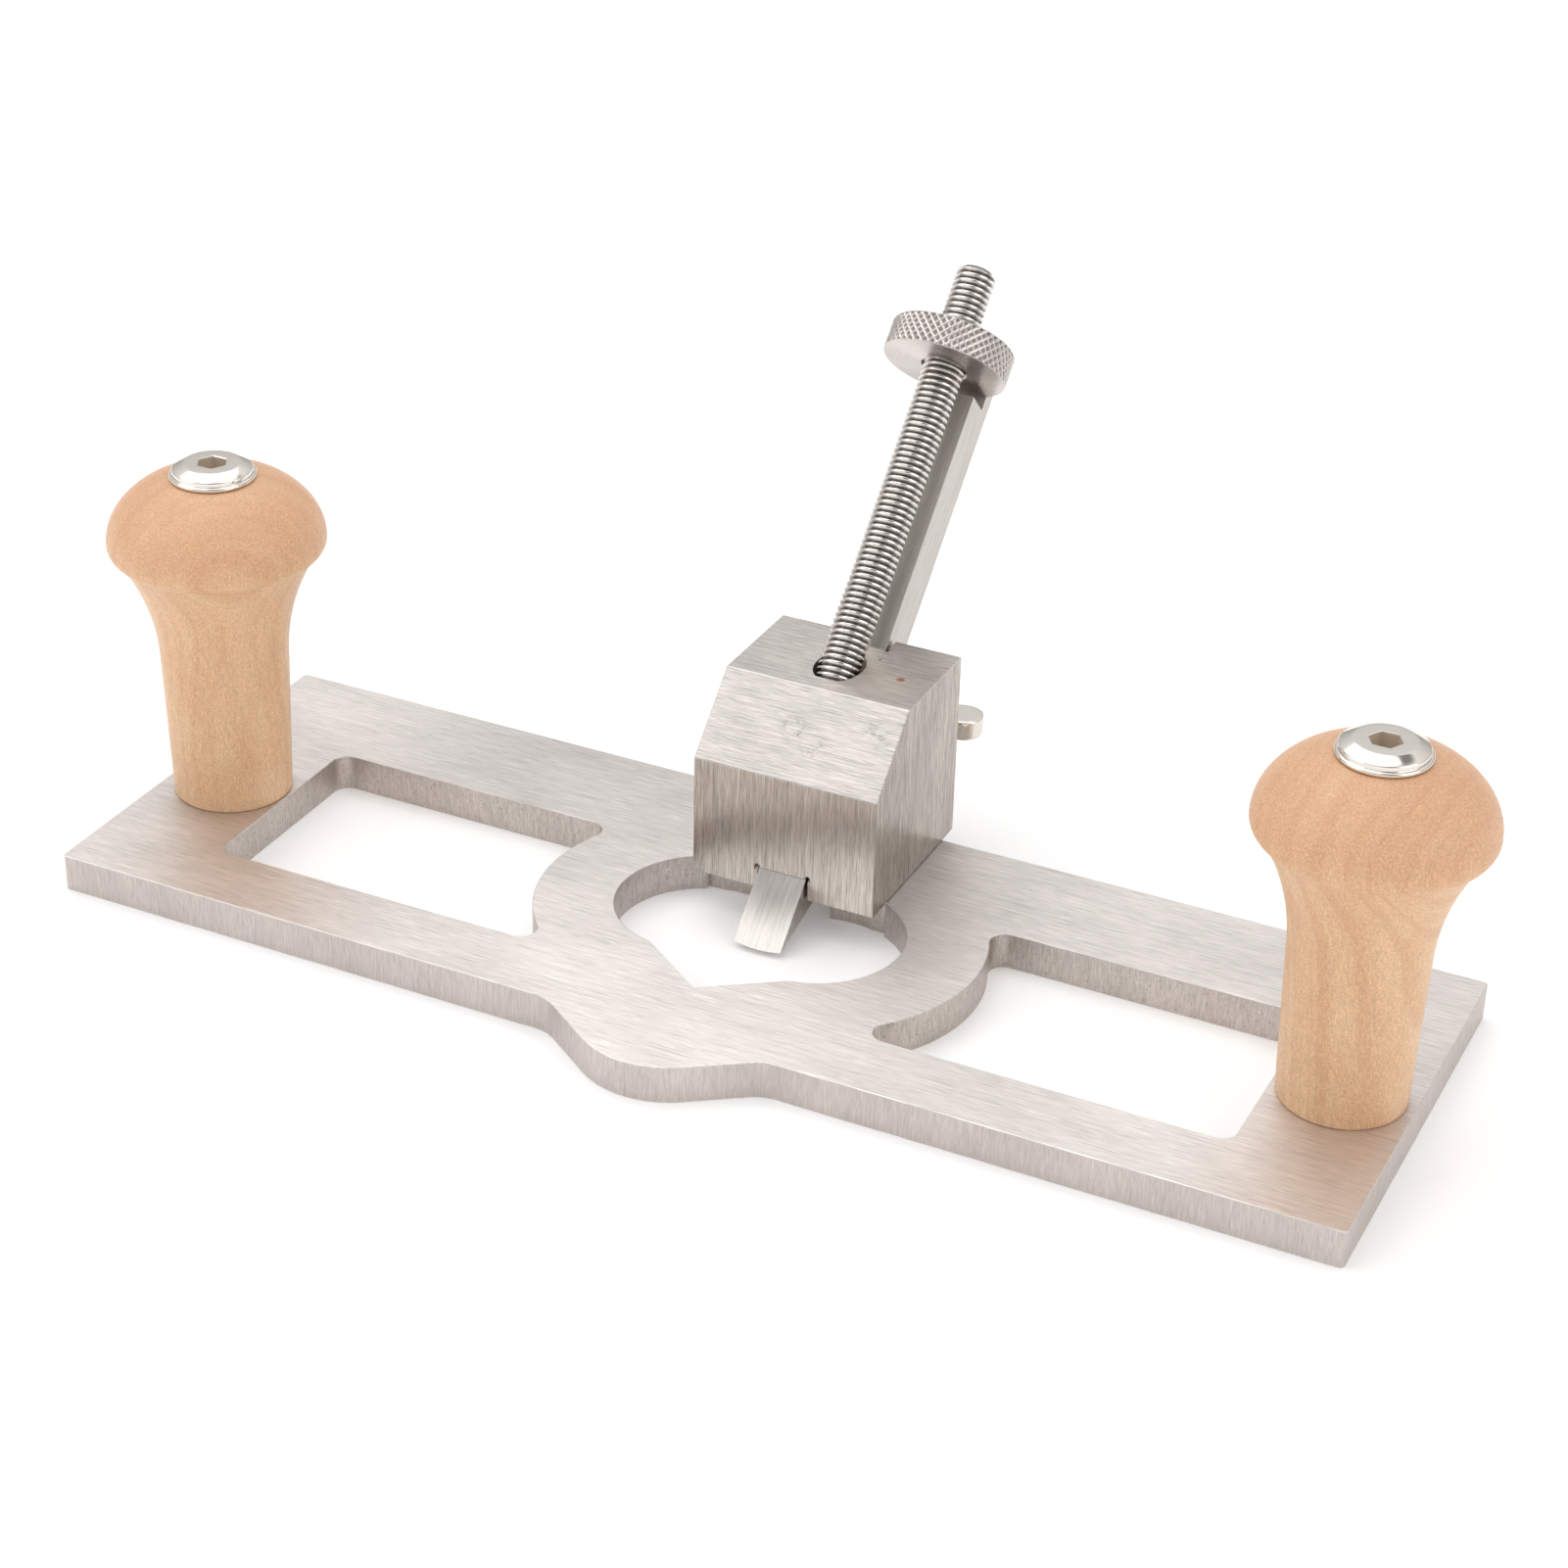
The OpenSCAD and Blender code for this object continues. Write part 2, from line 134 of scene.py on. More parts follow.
class Colours(bpy.types.PropertyGroup):
    """Colours of the finishes."""
    plate: colour("Plate", "#D8D2CE", "Ground steel of the plate's faces")
    plate_edge: colour("Plate's edges", "#C8BFB9", "Ground edges round the plate")
    milled: colour("Milled walls", "#C4BBB5", "Milled walls of the mouth, the windows and the channel")
    block_top: colour("Block's top", "#C4BEB9", "Ground steel of the block's top and bevel")
    # painted shade: the block's sides get a darker colour than its top and front
    block_side_painted_darker: colour("Block's sides", "#ADA49B", "Steel of the block's upright faces")
    block_front: colour("Block's front", "#C1B9B1", "Steel of the block's front, under the bevel")
    bar: colour("Cutter bar", "#C2BBB5", "Ground tool steel of the cutter")
    bar_face: colour("Cutter bar's face", "#DDD8D2", "The bar's face beside the stud")
    stud: colour("Stud", "#E4DFDA", "Bright rolled thread of the stud")
    wheel: colour("Wheel", "#D2CAC5", "Turned steel of the depth wheel")
    nickel: colour("Nickel", "#E2DCD3", "Nickel plate of the bolts and the wing screw")
    maple: colour("Maple", "#E3BC93", "Pale wood of the knobs")
    maple_cap: colour("Maple, cap", "#D6A07A", "Rosier wood of the knobs' caps")
    maple_late: colour("Maple, dark rings", "#D3A078", "Darker growth rings of the knobs' wood")
    floor: colour("Floor", "#FCFCFC", "The floor under the plane")


# Nodes

def add(tree, kind, settings=None, **inputs):
    """Adds a node, sets its settings and inputs, and links the inputs that are sockets."""
    node = put(tree.nodes.new(kind), **(settings or {}))
    for key, value in inputs.items():
        name = key[1:] if key[0] == "_" else key
        socket = node.inputs[int(name)] if name.isdigit() else node.inputs[name.replace("_", " ")]
        if isinstance(value, bpy.types.NodeSocket):
            tree.links.new(value, socket)
        else:
            socket.default_value = value
    return node


def maths(tree, operation, a, b=0.0):
    return add(tree, "ShaderNodeMath", {"operation": operation}, _0=a, _1=b).outputs[0]


def plus(tree, a, b):
    return maths(tree, "ADD", a, b)


def minus(tree, a, b):
    return maths(tree, "SUBTRACT", a, b)


def times(tree, a, b):
    return maths(tree, "MULTIPLY", a, b)


def over(tree, a, b):
    return maths(tree, "DIVIDE", a, b)


def remap(tree, value, low, high, to_low=0.0, to_high=1.0, smooth=False):
    """A number moved from one range to another, and kept inside it."""
    kind = "SMOOTHSTEP" if smooth else "LINEAR"
    return add(tree, "ShaderNodeMapRange", {"interpolation_type": kind, "clamp": True},
               _0=value, _1=low, _2=high, _3=to_low, _4=to_high).outputs[0]


def spread(tree, value, low, high):
    """Noise moved to a range. Almost all of it lies between 0.3 and 0.7."""
    return remap(tree, value, 0.3, 0.7, low, high)


def xyz(tree, vector):
    return add(tree, "ShaderNodeSeparateXYZ", Vector=vector).outputs


def distance(tree, point, other):
    return add(tree, "ShaderNodeVectorMath", {"operation": "DISTANCE"}, _0=point, _1=other).outputs[1]


def from_axis(tree, x, y):
    """How far a point lies from the z axis."""
    return maths(tree, "SQRT", plus(tree, times(tree, x, x), times(tree, y, y)))


def fold(tree, turns):
    """The fraction of a number, folded: 1 at whole numbers and 0 half way between them."""
    return maths(tree, "ABSOLUTE", minus(tree, times(tree, maths(tree, "FRACT", turns), 2.0), 1.0))


def in_frame(tree, coordinates, place=(0, 0, 0), turn=(0, 0, 0), scale=(1, 1, 1)):
    """Coordinates in a frame of their own."""
    return add(tree, "ShaderNodeMapping", {"vector_type": "TEXTURE"},
               Vector=coordinates, Location=place, Rotation=turn, Scale=scale).outputs[0]


def tint(tree, factor, a, b, blend="MIX"):
    """One colour mixed into another."""
    node = add(tree, "ShaderNodeMix", {"data_type": "RGBA", "blend_type": blend}, _0=factor, _6=a, _7=b)
    return node.outputs[2]


def shaded(tree, base, level):
    """A colour made lighter or darker by a number."""
    return tint(tree, 1.0, base, level, "MULTIPLY")


def noise(tree, dimensions, detail, roughness, scale=1.0, **where):
    return add(tree, "ShaderNodeTexNoise", {"noise_dimensions": dimensions},
               Scale=scale, Detail=detail, Roughness=roughness, **where).outputs


def grain(tree, coordinates, cell, turn=(0, 0, 0), detail=2.0, seed=0.0):
    """Noise in cells of a real size, in metres, turned to a piece's own direction. The last
    length of a cell stands for those that are left out.
    """
    own = in_frame(tree, coordinates, turn=turn, scale=cell + cell[-1:]*(3 - len(cell)))
    return noise(tree, "4D", detail, 0.55, Vector=own, W=seed)[0]


def stripes(tree, value, width, detail=2.0, roughness=0.5):
    """Noise along one number, in stripes of a real width."""
    return noise(tree, "1D", detail, roughness, W=over(tree, value, width))[0]


def new_material(name):
    """An empty material with its tree, its shader and its Object coordinates."""
    material = bpy.data.materials.new(name)
    material.use_nodes = True
    tree = material.node_tree
    tree.nodes.clear()
    shader = add(tree, "ShaderNodeBsdfPrincipled")
    add(tree, "ShaderNodeOutputMaterial", Surface=shader.outputs[0])
    coordinates = add(tree, "ShaderNodeTexCoord").outputs["Object"]
    return material, tree, shader, coordinates


def rgba(rgb, scale=1.0):
    return (*[c*scale for c in rgb], 1.0)


def dress(tree, shader, base, roughness, metallic=1.0, relief=None, bump=0.0, deep=0.0):
    """Gives a shader its colour, roughness and metal, and the relief that light finds on it."""
    tree.links.new(base, shader.inputs["Base Color"])
    tree.links.new(roughness, shader.inputs["Roughness"])
    shader.inputs["Metallic"].default_value = metallic
    if relief is not None:
        normal = add(tree, "ShaderNodeBump", Strength=bump, Distance=deep, Height=relief)
        tree.links.new(normal.outputs[0], shader.inputs["Normal"])


# Finishes

# the colour of painted highlights: the bright glints on a coarse cut
HIGHLIGHT_PAINT = (0.95, 0.94, 0.92, 1.0)


def smudged(tree, at, base, rgb, turn, smudges):
    """Patches of short dark marks that handling leaves, each with its centre and reach."""
    for centre, reach in smudges:
        patches = grain(tree, at, (2.4*MM, 1.6*MM), turn, detail=1.0, seed=26.0)
        marks = grain(tree, at, (0.8*MM, 0.18*MM), turn, detail=1.0, seed=27.0)
        smear = times(tree, remap(tree, patches, 0.44, 0.56), remap(tree, marks, 0.48, 0.60))
        near = remap(tree, distance(tree, at, centre), 0.3*reach, reach, 0.55, 0.0, smooth=True)
        base = tint(tree, times(tree, smear, near), base, rgba(rgb, 0.3))
    return base


def pitted_and_highlighted(tree, at, base, rgb, turn, strength):
    """The dark pits of a coarse cut, and bright glints painted on it as highlights."""
    pits = grain(tree, at, (0.7*MM,), turn, seed=11.0)
    base = tint(tree, remap(tree, pits, 0.60, 0.72, 0.0, strength), base, rgba(rgb, 0.35))
    # painted highlights: bright glints
    painted_highlights = grain(tree, at, (0.6*MM,), turn, seed=15.0)
    return tint(tree, remap(tree, painted_highlights, 0.64, 0.74, 0.0, strength), base, HIGHLIGHT_PAINT)


def dirty_joint(tree, at, base, rgb, height):
    """Crumbs of dirt just above a joint at this height."""
    crumbs = grain(tree, at, (1.2*MM, 1.2*MM, 0.3*MM), seed=31.0)
    reach = remap(tree, crumbs, 0.35, 0.65, 0.05*MM, 0.55*MM)
    above = minus(tree, xyz(tree, at)[2], height)
    dirt = remap(tree, over(tree, above, reach), 0.6, 1.1, 0.85, 0.0)
    return tint(tree, dirt, base, rgba(rgb, 0.08))


def spotted(tree, at, base, spots):
    """Small ragged spots, each with its centre, radius and colour."""
    for centre, radius, stain in spots:
        wobble = grain(tree, at, (0.4*MM,), seed=19.0)
        edge = plus(tree, distance(tree, at, centre), times(tree, wobble, radius))
        base = tint(tree, remap(tree, edge, radius, 1.5*radius, 0.9, 0.0), base, rgba(stain))
    return base


def brushed_steel(name, rgb, streak, turn=(0, 0, 0), contrast=0.3, rough=0.36, blotch=0.05,
                  bump=0.3, pits_and_highlights=0.0, smudges=(), spots=(), joint=None, painted_light_patches=()):
    """Steel ground on a belt: fine bright and dark streaks of the grit along one direction,
    over a cloudy sheen. streak is the length and width of one streak in metres. The broad
    patches are painted lighter or darker, as painted highlights and painted shade, each with a
    centre, a reach and how bright it is there.
    """
    material, tree, shader, at = new_material(name)
    long, wide = streak
    fine = grain(tree, at, (long, wide), turn)
    hair = grain(tree, at, (0.35*long, 0.5*wide), turn, detail=1.0, seed=5.0)
    broad = grain(tree, at, (1.5*long, 3*wide), turn, detail=1.0, seed=3.0)
    cloud = grain(tree, at, (22*MM, 14*MM), turn, detail=1.0, seed=7.0)
    streaks = plus(tree, times(tree, fine, 0.45), times(tree, broad, 0.15))
    streaks = plus(tree, streaks, times(tree, hair, 0.4))
    level = times(tree, spread(tree, streaks, 1 - contrast, 1 + contrast),
                  spread(tree, cloud, 1 - blotch, 1 + blotch))
    # painted light and shade: each patch makes the colour lighter or darker round its centre
    for centre, reach, bright in painted_light_patches:
        away = distance(tree, at, centre)
        level = times(tree, level, remap(tree, away, 0.3*reach, reach, bright, 1.0, smooth=True))
    base = shaded(tree, rgba(rgb), level)
    base = smudged(tree, at, base, rgb, turn, smudges)
    if pits_and_highlights:
        base = pitted_and_highlighted(tree, at, base, rgb, turn, pits_and_highlights)
    if joint is not None:
        base = dirty_joint(tree, at, base, rgb, joint)
    base = spotted(tree, at, base, spots)
    dress(tree, shader, base, spread(tree, fine, rough + 0.07, rough - 0.05),
          relief=streaks, bump=bump, deep=0.04*MM)
    return material


def tool_steel(name, rgb, rough=0.32, painted_light_patches=()):
    """Tool steel ground along the bar, with long fine lines."""
    return brushed_steel(name, rgb, (9*MM, 0.18*MM), ALONG_BAR, contrast=0.22, rough=rough, painted_light_patches=painted_light_patches)


def turned_steel(name, rgb, place):
    """Steel faced on a lathe: fine rings round its axis, and the light and dark sectors that
    such rings give under a lamp. place is the wheel's own frame.
    """
    material, tree, shader, at = new_material(name)
    x, y, _ = xyz(tree, in_frame(tree, at, place.translation, place.to_euler()))
    ring = stripes(tree, from_axis(tree, x, y), 0.22*MM)
    angle = maths(tree, "ARCTAN2", y, x)
    twofold = maths(tree, "SINE", times(tree, angle, 2.0))
    fivefold = maths(tree, "SINE", times(tree, angle, 5.0))
    sectors = plus(tree, twofold, times(tree, fivefold, 0.5))
    level = times(tree, remap(tree, sectors, -1.4, 1.4, 0.72, 1.04), spread(tree, ring, 0.92, 1.06))
    dress(tree, shader, shaded(tree, rgba(rgb), level), spread(tree, ring, 0.30, 0.20),
          relief=ring, bump=0.25, deep=0.02*MM)
    return material


def relieved_steel(name, rgb, place, root, crest, shade, rough=0.24):
    """Rolled or knurled steel: bright on its crests and darker down in its roots, as painted
    shade. root and crest are radii about the axis of its frame, place, and shade is how much
    light the roots keep.
    """
    material, tree, shader, at = new_material(name)
    x, y, _ = xyz(tree, in_frame(tree, at, place.translation, place.to_euler()))
    height = remap(tree, from_axis(tree, x, y), root, crest, smooth=True)
    dirt = grain(tree, at, (1.5*MM,), detail=3.0)
    # painted shade: the colour darkens from the crests down to the roots
    level = times(tree, remap(tree, height, 0.0, 1.0, shade, 1.0), spread(tree, dirt, 0.93, 1.05))
    dress(tree, shader, shaded(tree, rgba(rgb), level), remap(tree, height, 0.0, 1.0, rough + 0.2, rough))
    return material


def polished_nickel(name, rgb, rough=0.12, metallic=1.0):
    """Nickel plate over polished steel: a warm mirror with faint wiping marks. Inside a socket
    it is given a darker colour and less metal, as painted shade.
    """
    material, tree, shader, at = new_material(name)
    wipe = grain(tree, at, (6*MM, 1.2*MM, 3*MM), (0.3, 0.2, 0.6))
    dress(tree, shader, shaded(tree, rgba(rgb), spread(tree, wipe, 0.97, 1.02)),
          spread(tree, wipe, rough - 0.03, rough + 0.05), metallic)
    return material


def turned_maple(name, colours, cap_z, centre, pith, lean, seed):
    """Maple turned on a lathe and oiled: soft growth rings cut at a slant, fine fibres along
    the grain, short ray flecks and faint lines left by the tool. The cap, about and above
    cap_z, shows more end grain and is rosier. centre is the knob's foot and pith the way from
    it to the middle of the rings, in metres.
    """
    material, tree, shader, at = new_material(name)
    pale, late, rosy = rgba(colours.maple), rgba(colours.maple_late), rgba(colours.maple_cap)
    log = in_frame(tree, at, centre + Vector(pith), lean)
    wander = noise(tree, "4D", 2.0, 0.5, 38.0, Vector=log, W=seed)[1]
    drift = add(tree, "ShaderNodeVectorMath", {"operation": "MULTIPLY_ADD"},
                _0=wander, _1=(7*MM, 7*MM, 14*MM), _2=log).outputs[0]
    x, y, _ = xyz(tree, drift)
    years = stripes(tree, from_axis(tree, x, y), 3.1*MM, roughness=0.6)
    fibre = grain(tree, at, (0.24*MM, 0.24*MM, 2.4*MM), (lean[0], lean[1], 0), seed=seed + 2)
    pore = grain(tree, at, (0.28*MM, 0.28*MM, 0.4*MM), seed=seed + 8)
    cloud = grain(tree, at, (6*MM, 6*MM, 11*MM), seed=seed + 4)
    fleck = grain(tree, at, (0.9*MM, 0.9*MM, 0.3*MM), detail=1.0, seed=seed + 6)
    height = xyz(tree, at)[2]
    tool = stripes(tree, height, 0.35*MM, detail=1.0)
    base = tint(tree, remap(tree, years, 0.42, 0.66, 0.0, 0.55), pale, late)
    base = tint(tree, remap(tree, cloud, 0.38, 0.70, 0.0, 0.45), base, late)
    on_cap = remap(tree, height, cap_z - 5*MM, cap_z + 4*MM, 0.0, 0.5, smooth=True)
    base = tint(tree, on_cap, base, rosy)
    level = times(tree, spread(tree, fibre, 0.87, 1.11), spread(tree, tool, 0.985, 1.015))
    level = times(tree, level, spread(tree, pore, 0.82, 1.16))
    level = times(tree, level, remap(tree, fleck, 0.6, 0.74, 1.0, 1.12))
    dress(tree, shader, shaded(tree, base, level), spread(tree, fibre, 0.52, 0.42), metallic=0.0,
          relief=plus(tree, fibre, times(tree, tool, 0.8)), bump=0.35, deep=0.03*MM)
    shader.inputs["Coat Weight"].default_value = 0.12
    shader.inputs["Coat Roughness"].default_value = 0.32
    return material


# Meshes

def new_object(name, mesh, materials):
    obj = bpy.data.objects.new(name, mesh)
    bpy.context.scene.collection.objects.link(obj)
    for material in materials:
        mesh.materials.append(material)
    return obj


def smooth(mesh, angle=32.0):
    """Shades a mesh smooth but for its real corners."""
    mesh.polygons.foreach_set("use_smooth", [True]*len(mesh.polygons))
    mesh.set_sharp_from_angle(angle=math.radians(angle))


def lathe(name, rows, steps, materials, loop=False):
    """A turned mesh round its own z axis. Each row is a radius, a height and the index of the
    material up to the next row. A radius may be a function of the angle, as in a hex socket.
    """
    bm = bmesh.new()
    rings = []
    for radius, z, _ in rows:
        ring = []
        for i in range(1 if radius == 0 else steps):
            a = 2*math.pi*i/steps
            r = radius(a) if callable(radius) else radius
            ring.append(bm.verts.new((r*math.cos(a), r*math.sin(a), z)))
        rings.append(ring)
    pairs = list(zip(rings, rings[1:])) + ([(rings[-1], rings[0])] if loop else [])
    for (low, high), (_, _, slot) in zip(pairs, rows):
        for i in range(steps):
            j = (i + 1) % steps
            corners = [low[i % len(low)], low[j % len(low)], high[j % len(high)], high[i % len(high)]]
            face = bm.faces.new(list(dict.fromkeys(corners)))
            face.material_index = slot
    bmesh.ops.recalc_face_normals(bm, faces=bm.faces)
    mesh = bpy.data.meshes.new(name)
    bm.to_mesh(mesh)
    bm.free()
    smooth(mesh)
    return new_object(name, mesh, materials)


def plain(obj):
    """Turns what the modifiers make into the object's own plain mesh."""
    old = obj.data
    graph = bpy.context.evaluated_depsgraph_get()
    obj.data = bpy.data.meshes.new_from_object(obj.evaluated_get(graph), depsgraph=graph)
    obj.data.name = obj.name
    obj.modifiers.clear()
    bpy.data.meshes.remove(old)


def formed(obj, tree, values):
    """Runs a Geometry Nodes tree on an object with these input values, and keeps the mesh."""
    modifier = obj.modifiers.new(tree.name, "NODES")
    modifier.node_group = tree
    for item in tree.interface.items_tree:
        if item.item_type == "SOCKET" and item.in_out == "INPUT" and item.name in values:
            modifier[item.identifier] = values[item.name]
    plain(obj)


def placed(obj, matrix):
    """Moves the mesh itself, so that the object stays at the origin."""
    obj.data.transform(matrix)
    obj.data.update()


def cad_copy(name, node, materials):
    """A copy of a CAD node's mesh, its triangles merged into whole faces."""
    bm = bmesh.new()
    bm.from_mesh(frame["nodes"][node].data)
    bmesh.ops.remove_doubles(bm, verts=bm.verts, dist=0.002*MM)
    bmesh.ops.dissolve_limit(
        bm, angle_limit=math.radians(0.8), verts=bm.verts, edges=bm.edges, use_dissolve_boundaries=False)
    mesh = bpy.data.meshes.new(name)
    bm.to_mesh(mesh)
    bm.free()
    mesh.materials.clear()
    return new_object(name, mesh, materials)


def break_edges(obj, width, wanted):
    """Rounds the edges that wanted() picks by a small width, and shades the faces between them
    as true planes.
    """
    sharp = math.radians(28)
    plane_area = 12*MM*MM
    mesh = obj.data
    bm = bmesh.new()
    bm.from_mesh(mesh)
    weight = bm.edges.layers.float.new("bevel_weight_edge")
    for edge in bm.edges:
        if len(edge.link_faces) == 2 and edge.calc_face_angle(0) > sharp:
            edge[weight] = 1.0 if wanted(edge) else 0.0
    bm.to_mesh(mesh)
    bm.free()
    smooth(mesh)
    put(obj.modifiers.new("broken edges", "BEVEL"), width=width, segments=2, limit_method="WEIGHT",
        harden_normals=True, use_clamp_overlap=False)
    plain(obj)
    mesh = obj.data
    normals = [corner.vector.copy() for corner in mesh.corner_normals]
    for face in mesh.polygons:
        if face.area > plane_area:
            for i in face.loop_indices:
                normals[i] = face.normal.copy()
    mesh.normals_split_custom_set(normals)


def paint(obj, pick):
    """Gives each face the material slot that pick() names for its normal and its middle."""
    for face in obj.data.polygons:
        face.material_index = pick(face.normal, face.center)


def finish_piece(obj, body, nodes):
    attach(obj, body)
    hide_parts(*nodes)


# Geometry Nodes

def new_tree(name, sizes):
    """A Geometry Nodes tree with a geometry, named sizes and a material as its inputs."""
    tree = bpy.data.node_groups.new(name, "GeometryNodeTree")
    kinds = {"Geometry": "Geometry", **{label: "Float" for label in sizes}, "Material": "Material"}
    for label, kind in kinds.items():
        tree.interface.new_socket(label, in_out="INPUT", socket_type="NodeSocket" + kind)
    tree.interface.new_socket("Geometry", in_out="OUTPUT", socket_type="NodeSocketGeometry")
    given = add(tree, "NodeGroupInput").outputs
    position = add(tree, "GeometryNodeInputPosition").outputs[0]
    x, y, z = xyz(tree, position)
    return tree, given, position, from_axis(tree, x, y), maths(tree, "ARCTAN2", y, x), z


def end_tree(tree, given, position, radius, new_radius, selection):
    """Moves the selected points to their new radius and finishes the tree."""
    scale = over(tree, new_radius, maths(tree, "MAXIMUM", radius, 1e-6))
    factors = add(tree, "ShaderNodeCombineXYZ", X=scale, Y=scale, Z=1.0).outputs[0]
    moved = add(tree, "ShaderNodeVectorMath", {"operation": "MULTIPLY"}, _0=position, _1=factors).outputs[0]
    formed_mesh = add(tree, "GeometryNodeSetPosition", Geometry=given["Geometry"],
                      Selection=selection, Position=moved).outputs[0]
    real = add(tree, "GeometryNodeRealizeInstances", Geometry=formed_mesh).outputs[0]
    dressed = add(tree, "GeometryNodeSetMaterial", Geometry=real, Material=given["Material"],
                  Selection=selection).outputs[0]
    add(tree, "NodeGroupOutput", Geometry=dressed)
    return tree


def thread_tree():
    """Cuts a right-handed thread with rounded crests into a turned shank."""
    tree, given, position, radius, angle, z = new_tree(
        "thread", ["Crest radius", "Pitch", "Depth", "From", "To", "Chamfer"])
    crest = given["Crest radius"]
    phase = minus(tree, over(tree, z, given["Pitch"]), over(tree, angle, 2*math.pi))
    cut = times(tree, remap(tree, fold(tree, phase), 0.28, 0.94), given["Depth"])
    from_end = maths(tree, "MINIMUM", minus(tree, z, given["From"]), minus(tree, given["To"], z))
    tip = minus(tree, crest, given["Chamfer"])
    chamfered = plus(tree, tip, maths(tree, "MAXIMUM", from_end, 0.0))
    new_radius = maths(tree, "MINIMUM", minus(tree, crest, cut), chamfered)
    on_shank = maths(tree, "GREATER_THAN", radius, minus(tree, crest, 0.01*MM))
    in_reach = maths(tree, "GREATER_THAN", from_end, -0.001*MM)
    return end_tree(tree, given, position, radius, new_radius, times(tree, on_shank, in_reach))


def threaded(obj, radius, low, high, chamfer, sizes, material):
    """Cuts the M8 thread into a turned shank, from low to high."""
    tree = bpy.data.node_groups.get("thread") or thread_tree()
    formed(obj, tree, {
        "Crest radius": radius, "Pitch": sizes.pitch, "Depth": sizes.thread_depth,
        "From": low, "To": high, "Chamfer": chamfer, "Material": material})


def knurl_tree():
    """Presses a diamond knurl into a turned rim: raised lines crossing round sunk diamonds."""
    tree, given, position, radius, angle, z = new_tree(
        "knurl", ["Rim radius", "Count", "Rise", "Depth", "Half height", "Border"])
    across = times(tree, over(tree, angle, 2*math.pi), given["Count"])
    up = over(tree, z, given["Rise"])
    sides = [minus(tree, 1.0, fold(tree, slant(tree, across, up))) for slant in (plus, minus)]
    pit = remap(tree, maths(tree, "MINIMUM", *sides), 0.08, 0.70)
    from_edge = minus(tree, given["Half height"], maths(tree, "ABSOLUTE", z))
    fade = remap(tree, over(tree, from_edge, given["Border"]), 0.35, 1.0, smooth=True)
    new_radius = minus(tree, radius, times(tree, times(tree, pit, fade), given["Depth"]))
    on_rim = maths(tree, "GREATER_THAN", radius, minus(tree, given["Rim radius"], 0.01*MM))
    return end_tree(tree, given, position, radius, new_radius, on_rim)


# The cutter's leaning frame: its z runs up the stud, and its y from the stud to the bar

def joint_named(name):
    return next(j for j in frame["record"]["behaviour"]["joints"] if j["name"] == name)


def leaning_frame():
    joint = joint_named("wheel_turn")
    up = Vector(joint["axis"]).normalized()
    side = Vector((1, 0, 0))
    across = up.cross(side).normalized()
    matrix = Matrix((side, across, up)).transposed().to_4x4()
    matrix.translation = Vector(joint["pos_m"])
    return matrix


TOOL = leaning_frame()
TOOL_TURN = TOOL.to_euler()
ALONG_BAR = (TOOL.to_3x3() @ Matrix.Rotation(math.radians(-90), 3, "Y")).to_euler()
UPRIGHT = (0.0, math.radians(90), 0.0)


# Pieces

class Piece:
    """What the operators of the pieces share. Each makes its own from the scene's colours, the
    sizes of the steel pieces and those of the knobs.
    """

    def execute(self, context):
        scene = context.scene
        self.make(scene.router_colours, scene.router_steel, scene.router_knobs)
        return {"FINISHED"}


class ROUTER_OT_base_plate(Piece, bpy.types.Operator):
    """Grinds the plate: brushed lengthwise on its faces, milled in its openings"""
    bl_idname = "router_plane.base_plate"
    bl_label = "Base plate"

    def make(self, colours, sizes, k):
        low, high = (Vector(c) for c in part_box("base_plate"))
        screws_low, screws_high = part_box("block_screws")
        # painted shade towards the back left and the left end, painted highlights in front and at the right
        # front
        painted_light_patches = [((-58*MM, 30*MM, high.z), 55*MM, 0.84), ((0, -40*MM, high.z), 45*MM, 1.06),
                 ((-118*MM, 0, high.z), 30*MM, 0.95), ((105*MM, -25*MM, high.z), 35*MM, 1.07)]
        faces = brushed_steel("steel_brushed_lengthwise", colours.plate, (9*MM, 0.17*MM), contrast=0.36,
                              rough=0.5, blotch=0.06, bump=0.5, painted_light_patches=painted_light_patches)
        edges = brushed_steel("steel_ground_edge", colours.plate_edge, (4*MM, 0.2*MM), UPRIGHT,
                              contrast=0.24, rough=0.42)
        # the milled walls carry dark pits and painted highlights
        walls = brushed_steel("steel_milled_wall", colours.milled, (3*MM, 0.28*MM), UPRIGHT,
                              contrast=0.28, rough=0.45, pits_and_highlights=0.6, bump=0.6)
        plate = cad_copy("plate", "base_plate", [faces, edges, walls])

        def rim(edge):
            middle = (edge.verts[0].co + edge.verts[1].co)/2
            in_screw = all(screws_low[i] < middle[i] < screws_high[i] for i in (0, 1))
            flat, upright = sorted((abs(face.normal.z) for face in edge.link_faces), reverse=True)
            return upright < 0.3 and flat > 0.9 and not in_screw

        def pick(normal, middle):
            if abs(normal.z) > 0.35:
                return 0
            # in front the outer edge runs back from the blunt point by less than 14 mm
            outer = middle.y < low.y + 14*MM or middle.y > high.y - 1*MM or abs(middle.x) > high.x - 2*MM
            return 1 if outer and normal.dot(Vector((middle.x*0.2, middle.y, 0))) > 0 else 2

        break_edges(plate, sizes.edge_round, rim)
        paint(plate, pick)
        finish_piece(plate, "frame", ["base_plate"])


